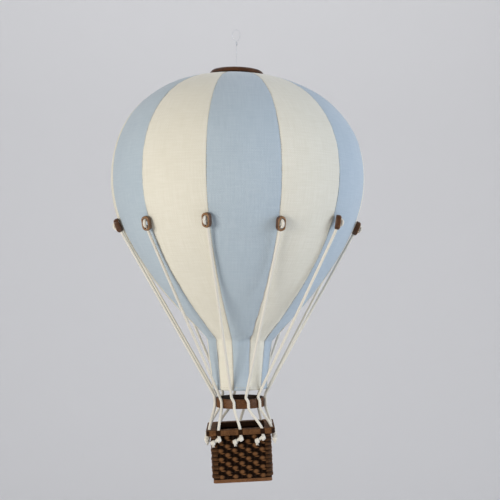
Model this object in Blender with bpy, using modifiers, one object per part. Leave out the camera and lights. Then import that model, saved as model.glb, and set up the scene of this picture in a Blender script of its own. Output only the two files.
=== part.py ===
"""A small hot air balloon that hangs on a clear line: a sewn cloth envelope of twelve gores,
twelve clips and stays, a load ring and a woven square basket. Metres, +Z up. The origin is
the top of the hanging loop, and the front faces -Y."""

from math import acos, atan2, cos, hypot, pi, radians, sin

import bmesh
import bpy
from mathutils import Matrix, Vector

# Heights, measured down from the top of the hanging loop
CAP_TOP = -0.0335
CROWN_HEIGHT = -0.0369
WIDEST_HEIGHT = -0.1213
NECK_TOP = -0.2470
NECK_HEM = -0.2858
RING_TOP = -0.2930
RING_HEIGHT = 0.0073
RIM_TOP = -0.3150
RIM_THICKNESS = 0.0042
BASKET_BOTTOM = -0.3560

# Envelope
ENVELOPE_RADIUS = 0.1002
CROWN_OPENING_RADIUS = 0.0120
DOME_EXPONENT = 2.21
SHOULDER_PULL = 0.0400
CONE_PULL = 0.0464
NECK_TOP_RADIUS = 0.0261
NECK_HEM_RADIUS = 0.0216
# The slack cloth has settled askew: its fall to the right at the crown and at the neck's crease
DOME_SLOPE = 0.035
NECK_SLOPE = 0.050
CLOTH_THICKNESS = 0.0012
GORE_COLUMNS = 4
DOME_ROWS = 9
CONE_ROWS = 9
NECK_ROWS = 2
SEAM_GAP = 0.0004
# The gores are sewn by hand: each one's width in degrees, going round to the right
FIRST_SEAM_ANGLE = radians(-12.9)
GORE_WIDTHS = [radians(w) for w in (31.2, 30.2, 29.8, 29.7, 29.7, 29.7, 29.7, 29.7, 29.7, 29.7, 29.7, 31.2)]
GORE_COUNT = len(GORE_WIDTHS)
SEAM_ANGLES = [FIRST_SEAM_ANGLE + sum(GORE_WIDTHS[:index]) for index in range(GORE_COUNT)]

# Cap and hanging line
CAP_RADIUS = 0.0221
CAP_EDGE_THICKNESS = 0.0038
CAP_EDGE_STEPS = 6
LINE_HOLE_RADIUS = 0.0008
LINE_RADIUS = 0.00035
LOOP_HEIGHT = 0.0100
LOOP_WIDTH = 0.0066
LINE_KNOT_RADIUS = 0.0009
STOP_KNOT_RADIUS = 0.0012

# Clips, in their own frame: X across, Y up the seam, Z out from the cloth
CLIP_HEIGHT = -0.1575
CLIP_TILT = radians(10)
CLIP_LENGTH = 0.0111
CLIP_WIDTH = 0.0063
CLIP_HOLE_LENGTH = 0.0076
CLIP_HOLE_WIDTH = 0.0036
CLIP_END_DEPTH = 0.0044
CLIP_WAIST_DEPTH = 0.0034
CLIP_NOTCH_DEPTH = 0.0030
CLIP_NOTCH_WIDTH = 0.0031
CLIP_ARC_STEPS = 6
# Each clip sits a little differently on its seam, as its cord pulls it. Columns: rise above
# CLIP_HEIGHT, twist about its long axis in degrees
CLIP_PLACES = (
    (0.0012, -19),
    (-0.0017, 9),
    (0.0005, 34),
    (-0.0026, 7),
    (0.0008, -6),
    (-0.0006, 12),
    (0.0010, -9),
    (-0.0004, 5),
    (0.0009, 14),
    (-0.0011, -8),
    (0.0011, -20),
    (0.0005, 20),
)

# Stays and load ring
STAY_RADIUS = 0.00115
FIT_GAP = 0.0003
RING_RADIUS = 0.0192
RING_WALL = 0.0020
RING_EDGE = 0.0005
RING_STEPS = 36
STAY_ARCH_RADIUS = 0.0021
STAY_ARCH_CENTRE = (0.0003, 0.0020)
STAY_ARCH_DEGREES = (0, 30, 60, 90, 120, 145)
# Way out through the clip's notch: place along the seam, rise above lying flat on the cloth
STAY_EXIT = ((-0.0025, 0.0003), (-0.0034, 0.0), (-0.0070, 0.0))
STAY_KINK_ANGLE = radians(6.0)
STAY_KINK_RISE = 0.0022
KNOT_RADIUS = 0.0021
KNOT_DROP = 0.0030
KNOT_STEP_ASIDE = 0.0043
KNOT_STEP_DOWN = 0.0020
KNOT_LEAN = 0.0019
KNOT_TAIL = 0.0027

# Basket, in its own frame: centre of the rim's top face; it hangs with its right side up a little
BASKET_TILT = radians(-2.3)
RIM_HALF_WIDTH = 0.0266
RIM_OPENING_HALF_WIDTH = 0.0188
RIM_CORNER = 0.0040
HOLE_PITCH = 0.0170
HOLE_OFFSET = 0.0244
HOLE_RADIUS = 0.0016
WALL_HALF_WIDTH = 0.0226
WALL_TAPER = 0.0005
WALL_THICKNESS = 0.0018
WALL_CORNER = 0.0030
WEAVE_COLUMNS = 7
WEAVE_COLUMN_PITCH = 0.0053
WEAVE_ROWS = 10
WEAVE_RELIEF = 0.0012
POST_RELIEF = 0.0006
FLOOR_HALF_WIDTH = 0.0227
FLOOR_THICKNESS = 0.0027
CORNER_STEPS = 4
HOLE_STEPS = 8

# Colour, roughness and metallic value of each material
MATERIALS = {
    "blue_cloth": ((0.36, 0.45, 0.53), 0.85, 0.0),
    "cream_cloth": ((0.73, 0.69, 0.57), 0.85, 0.0),
    "cream_cord": ((0.78, 0.73, 0.64), 0.80, 0.0),
    "brown_cap": ((0.07, 0.025, 0.012), 0.40, 0.0),
    "brown_clip": ((0.09, 0.030, 0.014), 0.35, 0.0),
    "brown_basket": ((0.10, 0.040, 0.020), 0.45, 0.0),
    "clear_line": ((0.80, 0.82, 0.83), 0.15, 0.0),
}


def empty_scene():
    for old in list(bpy.data.objects):
        bpy.data.objects.remove(old, do_unlink=True)


def new_collection(name):
    collection = bpy.data.collections.new(name)
    bpy.context.scene.collection.children.link(collection)
    return collection


def new_material(name):
    colour, roughness, metallic = MATERIALS[name]
    material = bpy.data.materials.new(name)
    material.use_nodes = True
    shader = material.node_tree.nodes["Principled BSDF"]
    shader.inputs["Base Color"].default_value = (*colour, 1.0)
    shader.inputs["Roughness"].default_value = roughness
    shader.inputs["Metallic"].default_value = metallic
    return material


def place(obj, collection, material, parent=None, matrix=None):
    """Link an object, give it its material and set where it stands under its parent."""
    collection.objects.link(obj)
    obj.data.materials.append(material)
    obj.parent = parent
    if matrix is not None:
        obj.matrix_local = matrix
    return obj


def evaluated_mesh(obj, name):
    """The mesh of an object with its modifiers, its loose caps welded."""
    graph = bpy.context.evaluated_depsgraph_get()
    graph.update()
    mesh = bpy.data.meshes.new_from_object(obj.evaluated_get(graph))
    mesh.name = name
    work = bmesh.new()
    work.from_mesh(mesh)
    bmesh.ops.remove_doubles(work, verts=work.verts, dist=0.00001)
    work.to_mesh(mesh)
    work.free()
    return mesh


def bake(obj, name):
    """Swap a helper object for the mesh that it makes."""
    mesh = evaluated_mesh(obj, name)
    bpy.data.objects.remove(obj, do_unlink=True)
    mesh.materials.clear()
    return mesh


def smooth(mesh, angle=radians(40)):
    mesh.shade_smooth()
    mesh.set_sharp_from_angle(angle=angle)


def seam_direction(angle):
    """Unit vector out from the axis; angle 0 faces the front, growing to the right."""
    return Vector((sin(angle), -cos(angle), 0.0))


def bezier(start, start_pull, end_pull, end, t):
    s = 1 - t
    return start * s ** 3 + start_pull * 3 * s * s * t + end_pull * 3 * s * t * t + end * t ** 3


def lower_skin(t):
    """Point (radius, height) on the cone, from the widest ring at t = 0 to the neck at 1."""
    return bezier(
        Vector((ENVELOPE_RADIUS, WIDEST_HEIGHT)),
        Vector((ENVELOPE_RADIUS, WIDEST_HEIGHT - SHOULDER_PULL)),
        Vector((NECK_TOP_RADIUS + CONE_PULL, NECK_TOP + CONE_PULL)),
        Vector((NECK_TOP_RADIUS, NECK_TOP)),
        t,
    )


def dome_skin(radius):
    """Height of the dome's outer skin at this distance from the axis."""
    share = (radius / ENVELOPE_RADIUS) ** DOME_EXPONENT
    return WIDEST_HEIGHT + (CROWN_HEIGHT - WIDEST_HEIGHT) * (1 - share) ** (1 / DOME_EXPONENT)


def envelope_profile():
    """Outer skin as (radius, height) points, from the crown opening to the neck's hem."""
    power = 2 / DOME_EXPONENT
    first_turn = acos((CROWN_OPENING_RADIUS / ENVELOPE_RADIUS) ** (1 / power))
    points = []
    for row in range(DOME_ROWS):
        turn = first_turn * (1 - row / DOME_ROWS)
        radius = ENVELOPE_RADIUS * cos(turn) ** power
        points.append((radius, dome_skin(radius)))
    for row in range(CONE_ROWS + 1):
        points.append(tuple(lower_skin(row / CONE_ROWS)))
    for row in range(1, NECK_ROWS + 1):
        share = row / NECK_ROWS
        radius = NECK_TOP_RADIUS + (NECK_HEM_RADIUS - NECK_TOP_RADIUS) * share
        points.append((radius, NECK_TOP + (NECK_HEM - NECK_TOP) * share))
    return points


def fall_to_right(height):
    """How steeply the cloth at this height falls to the right: not at all at the widest ring and
    the hem, most at the crown and at the neck's crease."""
    if height > WIDEST_HEIGHT:
        return DOME_SLOPE * (height - WIDEST_HEIGHT) / (CROWN_HEIGHT - WIDEST_HEIGHT)
    if height > NECK_TOP:
        return NECK_SLOPE * ((WIDEST_HEIGHT - height) / (WIDEST_HEIGHT - NECK_TOP)) ** 3
    return NECK_SLOPE * (height - NECK_HEM) / (NECK_TOP - NECK_HEM)


def gore_mesh(width, turn):
    """A gore of this angular width as an open surface, centred on the front; each edge stops
    short of the seam. The turn says where it will stand, and so how far its cloth falls."""
    work = bmesh.new()
    start = seam_direction(-width / 2)
    verts = [work.verts.new((start.x * r, start.y * r, z)) for r, z in envelope_profile()]
    edges = [work.edges.new(pair) for pair in zip(verts, verts[1:])]
    bmesh.ops.spin(work, geom=verts + edges, cent=(0, 0, 0), axis=(0, 0, 1), dvec=(0, 0, 0),
                   angle=width, steps=GORE_COLUMNS, use_merge=False, use_duplicate=False)
    for vert in work.verts:
        radius = hypot(vert.co.x, vert.co.y)
        angle = atan2(vert.co.x, -vert.co.y)
        narrowed = angle * (1 - SEAM_GAP / (radius * width))
        side = seam_direction(narrowed) * radius
        fall = fall_to_right(vert.co.z) * radius * sin(narrowed + turn)
        vert.co = (side.x, side.y, vert.co.z - fall)
    work.normal_update()
    widest = max(work.faces, key=lambda face: face.calc_center_median().xy.length)
    if widest.normal.xy.dot(widest.calc_center_median().xy) < 0:
        bmesh.ops.reverse_faces(work, faces=work.faces)
    mesh = bpy.data.meshes.new("gore")
    work.to_mesh(mesh)
    work.free()
    smooth(mesh)
    return mesh


def make_gores(collection, parent, blue, cream):
    for index, width in enumerate(GORE_WIDTHS):
        turn = SEAM_ANGLES[index] + width / 2
        obj = bpy.data.objects.new(f"gore_{index + 1:02d}", gore_mesh(width, turn))
        place(obj, collection, blue if index % 2 == 0 else cream, parent,
              parent.matrix_world.inverted() @ Matrix.Rotation(turn, 4, "Z"))
        shell = obj.modifiers.new("cloth", "SOLIDIFY")
        shell.thickness = CLOTH_THICKNESS
        shell.offset = -1
        shell.use_even_offset = True


def turned(name, profile, steps):
    """Mesh of a closed profile of (radius, height) points turned about Z."""
    mesh = bpy.data.meshes.new(name)
    verts = [(r, 0.0, z) for r, z in profile]
    edges = [(i, (i + 1) % len(profile)) for i in range(len(profile))]
    mesh.from_pydata(verts, edges, [])
    obj = bpy.data.objects.new(name, mesh)
    bpy.context.scene.collection.objects.link(obj)
    screw = obj.modifiers.new("turn", "SCREW")
    screw.steps = steps
    screw.render_steps = steps
    screw.use_merge_vertices = True
    screw.merge_threshold = 0.00001
    baked = bake(obj, name)
    smooth(baked)
    return baked


def make_cap(collection, parent, material):
    """Disc with a round edge, its underside fitted to the crown, and a hole for the line. It lies
    askew with the cloth."""
    edge = CAP_EDGE_THICKNESS / 2
    profile = [(LINE_HOLE_RADIUS, CAP_TOP)]
    for step in range(CAP_EDGE_STEPS + 1):
        turn = pi / 2 - pi * step / CAP_EDGE_STEPS
        profile.append((CAP_RADIUS - edge + edge * cos(turn), CAP_TOP - edge + edge * sin(turn)))
    # The crown opening's edge, then flat across the opening to the hole
    seat = dome_skin(CROWN_OPENING_RADIUS) + FIT_GAP
    profile += [(CROWN_OPENING_RADIUS + 0.0005, seat), (LINE_HOLE_RADIUS, seat)]
    obj = bpy.data.objects.new("top_cap", turned("top_cap", profile, 40))
    crown = Matrix.Translation((0, 0, CROWN_HEIGHT))
    askew = crown @ Matrix.Rotation(DOME_SLOPE, 4, "Y") @ crown.inverted()
    place(obj, collection, material, parent, parent.matrix_world.inverted() @ askew)


def tube_object(name, route, radius, swells=None, cyclic=False):
    """A round cord along a route of points; swells scale its radius point by point."""
    curve = bpy.data.curves.new(name, "CURVE")
    curve.dimensions = "3D"
    curve.bevel_depth = radius
    curve.bevel_resolution = 2
    curve.use_fill_caps = True
    spline = curve.splines.new("POLY")
    spline.points.add(len(route) - 1)
    spline.use_cyclic_u = cyclic
    for index, point in enumerate(route):
        spline.points[index].co = (*point, 1.0)
        spline.points[index].radius = swells[index] if swells else 1.0
    return bpy.data.objects.new(name, curve)


def ball_object(name, centre, radius):
    work = bmesh.new()
    bmesh.ops.create_uvsphere(work, u_segments=10, v_segments=6, radius=radius,
                              matrix=Matrix.Translation(centre))
    mesh = bpy.data.meshes.new(name)
    work.to_mesh(mesh)
    work.free()
    return bpy.data.objects.new(name, mesh)


def make_hanging_loop(collection, material):
    """Clear line: loop, knot, a run down through the cap, and a stop knot under it."""
    half_height = LOOP_HEIGHT / 2 - LINE_RADIUS
    half_width = LOOP_WIDTH / 2 - LINE_RADIUS
    centre = Vector((0, 0, -LOOP_HEIGHT / 2))
    ring_points = 20
    loop_route = []
    for step in range(ring_points):
        turn = 2 * pi * step / ring_points
        loop_route.append(centre + Vector((half_width * sin(turn), 0, half_height * cos(turn))))
    knot_centre = Vector((0, 0, -LOOP_HEIGHT - LINE_KNOT_RADIUS * 0.4))
    cap_seat = dome_skin(CROWN_OPENING_RADIUS) + FIT_GAP
    stop_centre = Vector((0, 0, cap_seat - FIT_GAP - STOP_KNOT_RADIUS))
    pieces = [
        tube_object("loop_ring", loop_route, LINE_RADIUS, cyclic=True),
        tube_object("loop_run", [knot_centre, stop_centre], LINE_RADIUS),
        ball_object("loop_knot", knot_centre, LINE_KNOT_RADIUS),
        ball_object("loop_stop", stop_centre, STOP_KNOT_RADIUS),
    ]
    meshes = []
    for piece in pieces:
        bpy.context.scene.collection.objects.link(piece)
        meshes.append(bake(piece, piece.name))
    body = bpy.data.objects.new("hanging_loop", meshes[0])
    helpers = []
    bpy.context.scene.collection.objects.link(body)
    for mesh in meshes[1:]:
        helper = bpy.data.objects.new(mesh.name, mesh)
        bpy.context.scene.collection.objects.link(helper)
        helpers.append(helper)
        join = body.modifiers.new("join", "BOOLEAN")
        join.operation = "UNION"
        join.solver = "EXACT"
        join.object = helper
    joined = bake(body, "hanging_loop")
    for helper in helpers:
        bpy.data.objects.remove(helper, do_unlink=True)
    smooth(joined)
    place(bpy.data.objects.new("hanging_loop", joined), collection, material)


def add_outline(curve, points):
    spline = curve.splines.new("POLY")
    spline.points.add(len(points) - 1)
    spline.use_cyclic_u = True
    for index, (x, y) in enumerate(points):
        spline.points[index].co = (x, y, 0.0, 1.0)


def plate_mesh(name, outlines, thickness):
    """Flat plate centred on Z = 0, cut from nested outlines."""
    curve = bpy.data.curves.new(name, "CURVE")
    curve.dimensions = "2D"
    curve.fill_mode = "BOTH"
    curve.extrude = thickness / 2
    for outline in outlines:
        add_outline(curve, outline)
    obj = bpy.data.objects.new(name, curve)
    bpy.context.scene.collection.objects.link(obj)
    mesh = bake(obj, name)
    smooth(mesh)
    return mesh


def rounded_square(half_width, corner):
    points = []
    inner = half_width - corner
    for quarter in range(4):
        for step in range(CORNER_STEPS + 1):
            turn = pi / 2 * (quarter + step / CORNER_STEPS)
            sign_x = 1 if quarter in (0, 3) else -1
            sign_y = 1 if quarter in (0, 1) else -1
            points.append((sign_x * inner + corner * cos(turn), sign_y * inner + corner * sin(turn)))
    return points


def circle_outline(x, y, radius, steps):
    return [(x + radius * cos(2 * pi * i / steps), y + radius * sin(2 * pi * i / steps))
            for i in range(steps)]


def stadium(length, width, steps):
    """Outline with round ends, its long way along Y."""
    radius = width / 2
    straight = length / 2 - radius
    points = []
    for end in (0, 1):
        for step in range(steps + 1):
            turn = pi * (end + step / steps)
            points.append((radius * cos(turn), (straight if end == 0 else -straight) + radius * sin(turn)))
    return points


def clip_frame(seam):
    """Frame of the clip on this seam. It stands more upright than the cloth and is twisted, so
    it is lifted until only its edge touches."""
    angle = SEAM_ANGLES[seam]
    rise, twist = CLIP_PLACES[seam]
    twist = radians(twist)
    height = CLIP_HEIGHT + rise
    steps = 400
    low = min((lower_skin(i / steps) for i in range(steps)), key=lambda p: abs(p.y - height))
    ahead = min((lower_skin(i / steps) for i in range(steps)),
                key=lambda p: abs(p.y - (height + 0.002)))
    out = seam_direction(angle)
    up = (out * (ahead.x - low.x) + Vector((0, 0, ahead.y - low.y))).normalized()
    across = Vector((cos(angle), sin(angle), 0.0))
    normal = across.cross(up)
    frame = Matrix((across, up, normal)).transposed().to_4x4()
    lift = CLIP_WIDTH / 2 * abs(sin(twist)) + CLIP_LENGTH / 2 * sin(CLIP_TILT)
    frame.translation = out * low.x + Vector((0, 0, low.y)) + normal * lift
    return frame @ Matrix.Rotation(-CLIP_TILT, 4, "X") @ Matrix.Rotation(twist, 4, "Y")


def clip_mesh(cutters):
    """Oval clip with a saddle top and a notch under its lower end for the stay."""
    outer = stadium(CLIP_LENGTH, CLIP_WIDTH, CLIP_ARC_STEPS)
    inner = stadium(CLIP_HOLE_LENGTH, CLIP_HOLE_WIDTH, CLIP_ARC_STEPS)
    depth = CLIP_END_DEPTH - FIT_GAP
    mesh = plate_mesh("clip", [outer, inner], depth)
    for vert in mesh.vertices:
        top = vert.co.z > 0
        reach = min(1.0, abs(vert.co.y) / (CLIP_LENGTH / 2))
        vert.co.z = FIT_GAP
        if top:
            vert.co.z = CLIP_WAIST_DEPTH + (CLIP_END_DEPTH - CLIP_WAIST_DEPTH) * reach ** 2
    template = bpy.data.objects.new("clip_template", mesh)
    bpy.context.scene.collection.objects.link(template)
    work = bmesh.new()
    bmesh.ops.create_cube(work, size=1.0)
    # The cutter covers the lower end's wall and reaches below the foot
    reach = 0.001
    for vert in work.verts:
        vert.co.x *= CLIP_NOTCH_WIDTH
        vert.co.y = vert.co.y * CLIP_LENGTH / 2 - CLIP_LENGTH * 0.45
        vert.co.z = (vert.co.z + 0.5) * (CLIP_NOTCH_DEPTH + reach) - reach
    cutter_mesh = bpy.data.meshes.new("clip_notch")
    work.to_mesh(cutter_mesh)
    work.free()
    cutter = bpy.data.objects.new("clip_notch", cutter_mesh)
    cutters.objects.link(cutter)
    cutter.hide_render = True
    cutter.display_type = "WIRE"
    cut = template.modifiers.new("notch", "BOOLEAN")
    cut.operation = "DIFFERENCE"
    cut.solver = "EXACT"
    cut.object = cutter
    baked = bake(template, "clip")
    smooth(baked)
    return baked


def make_clips(collection, cutters, parent, material):
    mesh = clip_mesh(cutters)
    mesh.materials.append(material)
    for seam in range(GORE_COUNT):
        obj = bpy.data.objects.new(f"clip_{seam + 1:02d}", mesh)
        collection.objects.link(obj)
        obj.parent = parent
        obj.matrix_local = parent.matrix_world.inverted() @ clip_frame(seam)


def make_ring(collection, parent, material):
    low = RING_TOP - RING_HEIGHT
    inner = RING_RADIUS - RING_WALL
    profile = [
        (RING_RADIUS - RING_EDGE, RING_TOP),
        (RING_RADIUS, RING_TOP - RING_EDGE),
        (RING_RADIUS, low + RING_EDGE),
        (RING_RADIUS - RING_EDGE, low),
        (inner + RING_EDGE, low),
        (inner, low + RING_EDGE),
        (inner, RING_TOP - RING_EDGE),
        (inner + RING_EDGE, RING_TOP),
    ]
    obj = bpy.data.objects.new("load_ring", turned("load_ring", profile, RING_STEPS))
    place(obj, collection, material, parent, parent.matrix_world.inverted())


def basket_frame():
    return Matrix.Translation((0, 0, RIM_TOP)) @ Matrix.Rotation(BASKET_TILT, 4, "Y")


def rim_holes():
    """Stay holes in the order of the seams, as (place, out, aside) in the basket's frame."""
    holes = []
    for side in range(4):
        turn = side * pi / 2
        out = seam_direction(turn)
        right = Vector((cos(turn), sin(turn), 0.0))
        for column in (-1, 0, 1):
            holes.append((out * HOLE_OFFSET + right * HOLE_PITCH * column, out, -right))
    return holes


def weave_outline():
    """Points round the wall's outer face at the rim, as (place, out, column); the column is
    None on the corner posts."""
    points = []
    post_centre = WALL_HALF_WIDTH - WALL_CORNER
    for side in range(4):
        out = seam_direction(side * pi / 2)
        right = Vector((-out.y, out.x, 0.0))
        for half_step in range(2 * WEAVE_COLUMNS + 1):
            column = (half_step - WEAVE_COLUMNS) / 2
            place_on_side = out * WALL_HALF_WIDTH + right * WEAVE_COLUMN_PITCH * column
            points.append((place_on_side, out, column))
        for degrees in (15, 45, 75):
            turn = radians(degrees)
            corner_out = out * cos(turn) + right * sin(turn)
            points.append(((out + right) * post_centre + corner_out * WALL_CORNER, corner_out, None))
    return points


def weave_relief(column, row):
    """How far the weavers stand out: over one stake and behind the next, changing each row. The
    top row is tucked in under the rim."""
    tucked = min(1.0, row)
    if column is None:
        return POST_RELIEF * abs(cos(pi * row)) * tucked
    nearest_column = round(column)
    nearest_row = round(row)
    if (nearest_column + nearest_row) % 2:
        return 0.0
    hump = cos(pi * (column - nearest_column)) * cos(pi * (row - nearest_row))
    return WEAVE_RELIEF * max(0.0, hump) * tucked


def extrude_loop(work, loop):
    """Extrude a closed loop of edges in place; returns the new loop and its vertices."""
    grown = bmesh.ops.extrude_edge_only(work, edges=loop)["geom"]
    verts = [item for item in grown if isinstance(item, bmesh.types.BMVert)]
    edges = [item for item in grown if isinstance(item, bmesh.types.BMEdge)
             and all(vert in verts for vert in item.verts)]
    return edges, verts


def wall_mesh(top, bottom):
    """Square tube with a woven outer face, a smooth inner face and a slight taper."""
    outline = weave_outline()
    steps = 2 * WEAVE_ROWS
    taper = 1 - WALL_TAPER / WALL_HALF_WIDTH
    inner_share = 1 - WALL_THICKNESS / WALL_HALF_WIDTH
    work = bmesh.new()
    ring = [work.verts.new(point) for point, out, column in outline]
    outer_top = [work.edges.new((ring[i - 1], ring[i])) for i in range(len(ring))]
    outer_bottom = outer_top
    rings = [ring]
    for step in range(steps):
        outer_bottom, ring = extrude_loop(work, outer_bottom)
        rings.append(ring)
    for step, ring in enumerate(rings):
        share = step / steps
        narrow = 1 + (taper - 1) * share
        for vert in ring:
            point, out, column = min(outline, key=lambda item: (item[0] - vert.co).length)
            relief = weave_relief(column, step / 2)
            vert.co = point * narrow + out * relief + Vector((0, 0, top + (bottom - top) * share))
    inner_top, ring = extrude_loop(work, outer_top)
    for vert in ring:
        vert.co = Vector((vert.co.x * inner_share, vert.co.y * inner_share, top))
    inner_bottom, ring = extrude_loop(work, inner_top)
    for vert in ring:
        vert.co = Vector((vert.co.x * taper, vert.co.y * taper, bottom))
    bmesh.ops.bridge_loops(work, edges=inner_bottom + outer_bottom)
    bmesh.ops.recalc_face_normals(work, faces=work.faces)
    mesh = bpy.data.meshes.new("basket_wall")
    work.to_mesh(mesh)
    work.free()
    smooth(mesh, radians(60))
    return mesh


def make_basket(collection, parent, material):
    holes = [circle_outline(p.x, p.y, HOLE_RADIUS, HOLE_STEPS) for p, out, aside in rim_holes()]
    rim = [rounded_square(RIM_HALF_WIDTH, RIM_CORNER),
           rounded_square(RIM_OPENING_HALF_WIDTH, RIM_CORNER / 2)] + holes
    floor = [rounded_square(FLOOR_HALF_WIDTH, WALL_CORNER)]
    basket_depth = RIM_TOP - BASKET_BOTTOM
    wall_top = -RIM_THICKNESS - FIT_GAP
    wall_bottom = -basket_depth + FLOOR_THICKNESS + FIT_GAP
    # Name, outlines, height of the top face and of the bottom face in the basket's frame
    plates = (
        ("basket_rim", rim, 0.0, -RIM_THICKNESS),
        ("basket_floor", floor, -basket_depth + FLOOR_THICKNESS, -basket_depth),
    )
    for name, outlines, top, bottom in plates:
        obj = bpy.data.objects.new(name, plate_mesh(name, outlines, top - bottom))
        place(obj, collection, material, parent, Matrix.Translation((0, 0, (top + bottom) / 2)))
    wall = bpy.data.objects.new("basket_wall", wall_mesh(wall_top, wall_bottom))
    place(wall, collection, material, parent)


def stay_start(frame):
    """The stay's arch through the clip and its way out under the clip's lower end."""
    low = FIT_GAP + STAY_RADIUS
    points = []
    for degrees in STAY_ARCH_DEGREES:
        turn = radians(degrees)
        along = STAY_ARCH_CENTRE[0] + STAY_ARCH_RADIUS * cos(turn)
        points.append((along, STAY_ARCH_CENTRE[1] + STAY_ARCH_RADIUS * sin(turn)))
    points += [(along, low + rise) for along, rise in STAY_EXIT]
    return [frame @ Vector((0.0, y, z)) for y, z in points]


def taut_run(angle, start):
    """Points where a taut cord lies on the cloth before it leaves in a straight line."""
    out = seam_direction(angle)
    ring_contact = Vector((RING_RADIUS + FIT_GAP + STAY_RADIUS, RING_TOP + STAY_KINK_RISE))
    stand_off = FIT_GAP + STAY_RADIUS
    here = Vector((start.dot(out), start.z))
    steps = 60
    route = []
    samples = []
    for step in range(steps):
        point = lower_skin(step / steps)
        slope = (lower_skin((step + 1) / steps) - point).normalized()
        samples.append(point + Vector((-slope.y, slope.x)) * stand_off)
    below = [p for p in samples if p.y < here.y - 0.001]
    while below:
        steepest = max(below, key=lambda p: atan2(p.x - here.x, here.y - p.y))
        to_ring = atan2(ring_contact.x - here.x, here.y - ring_contact.y)
        if atan2(steepest.x - here.x, here.y - steepest.y) <= to_ring:
            break
        route.append(steepest)
        here = steepest
        below = [p for p in samples if p.y < here.y - 0.004]
    return [out * p.x + Vector((0, 0, p.y)) for p in route]


def stay_ring_run(angle):
    """In from the left over the ring's top edge, then down its outer face."""
    radius = RING_RADIUS + FIT_GAP + STAY_RADIUS
    # Columns: share of the step to the left, height
    stops = (
        (1.00, RING_TOP + STAY_KINK_RISE),
        (0.85, RING_TOP + STAY_KINK_RISE * 0.45),
        (0.40, RING_TOP - 0.0004),
        (0.05, RING_TOP - 0.0018),
        (0.00, RING_TOP - RING_HEIGHT * 0.6),
        (0.00, RING_TOP - RING_HEIGHT - 0.0004),
    )
    return [seam_direction(angle - STAY_KINK_ANGLE * share) * radius + Vector((0, 0, z))
            for share, z in stops]


def knot_lobe(centre, along):
    """A round lobe of the knot as (point, radius) pairs along the cord."""
    lobe = []
    for degrees in (145, 115, 90, 65, 35):
        turn = radians(degrees)
        lobe.append((centre + along * KNOT_RADIUS * cos(turn), KNOT_RADIUS * sin(turn)))
    return lobe


def stay_knot(frame, hole):
    """Down through the rim hole, then a two-lobed knot and its short tail, with swells."""
    place_in_rim, out, aside = hole
    down = Vector((0, 0, -1))
    under_rim = place_in_rim + down * RIM_THICKNESS
    first = under_rim + out * KNOT_LEAN + down * KNOT_DROP
    second = first + aside * KNOT_STEP_ASIDE + down * KNOT_STEP_DOWN
    tail = second + down * KNOT_TAIL - aside * KNOT_RADIUS / 4
    stops = [(place_in_rim - down * 0.0006, STAY_RADIUS), (under_rim + down * 0.0003, STAY_RADIUS)]
    stops += knot_lobe(first, (down * 2 + aside).normalized())
    stops += knot_lobe(second, (down * 2 + aside).normalized())
    stops.append((tail, STAY_RADIUS * 0.75))
    return [frame @ point for point, radius in stops], [radius / STAY_RADIUS for point, radius in stops]


def make_stays(collection, parent, material):
    basket = basket_frame()
    for index, hole in enumerate(rim_holes()):
        # The holes start at the front side's left-hand one, which the last seam's stay meets
        seam = (index - 1) % GORE_COUNT
        angle = SEAM_ANGLES[seam]
        start = stay_start(clip_frame(seam))
        route = start + taut_run(angle, start[-1]) + stay_ring_run(angle)
        knot_route, knot_swells = stay_knot(basket, hole)
        swells = [1.0] * len(route) + knot_swells
        name = f"stay_{seam + 1:02d}"
        helper = tube_object(name, route + knot_route, STAY_RADIUS, swells)
        bpy.context.scene.collection.objects.link(helper)
        mesh = bake(helper, name)
        smooth(mesh)
        obj = bpy.data.objects.new(name, mesh)
        place(obj, collection, material, parent, parent.matrix_world.inverted())


def new_empty(name, collection, matrix, parent=None):
    empty = bpy.data.objects.new(name, None)
    collection.objects.link(empty)
    empty.parent = parent
    empty.matrix_world = matrix
    bpy.context.view_layer.update()
    return empty


def main():
    empty_scene()
    parts = new_collection("hot_air_balloon")
    cutters = new_collection("cutters")
    finish = {name: new_material(name) for name in MATERIALS}
    swivel = new_empty("balloon_swivel", parts, Matrix.Translation((0, 0, CAP_TOP)))
    basket = new_empty("basket_hang", parts, basket_frame(), swivel)
    make_hanging_loop(parts, finish["clear_line"])
    make_cap(parts, swivel, finish["brown_cap"])
    make_gores(parts, swivel, finish["blue_cloth"], finish["cream_cloth"])
    make_clips(parts, cutters, swivel, finish["brown_clip"])
    make_stays(parts, swivel, finish["cream_cord"])
    make_ring(parts, swivel, finish["brown_basket"])
    make_basket(parts, basket, finish["brown_basket"])
    bpy.context.view_layer.update()


main()
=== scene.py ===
"""Looks of a small hot air balloon that hangs on a clear line: cloth gores sewn edge to edge, oval
clips, taut twisted cords, a load ring and a woven basket. Metres, +Z up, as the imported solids."""

from bisect import bisect_right
from math import acos, atan2, ceil, cos, exp, pi, radians, sin

import bmesh
import bpy
from mathutils import Matrix, Vector, noise


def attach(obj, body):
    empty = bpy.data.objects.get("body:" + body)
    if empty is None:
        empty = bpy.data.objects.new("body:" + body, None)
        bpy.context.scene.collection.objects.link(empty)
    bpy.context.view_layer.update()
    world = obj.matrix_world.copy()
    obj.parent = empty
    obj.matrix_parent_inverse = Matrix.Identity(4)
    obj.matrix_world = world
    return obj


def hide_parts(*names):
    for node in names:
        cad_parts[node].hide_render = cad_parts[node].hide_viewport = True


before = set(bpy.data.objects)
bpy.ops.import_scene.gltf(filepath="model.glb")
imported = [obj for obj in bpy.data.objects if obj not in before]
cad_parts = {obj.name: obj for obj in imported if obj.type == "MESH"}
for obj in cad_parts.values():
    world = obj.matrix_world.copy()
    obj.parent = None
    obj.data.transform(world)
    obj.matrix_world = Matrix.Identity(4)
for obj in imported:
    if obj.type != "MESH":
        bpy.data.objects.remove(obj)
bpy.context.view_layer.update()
bpy.ops.object.select_all(action="DESELECT")

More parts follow.
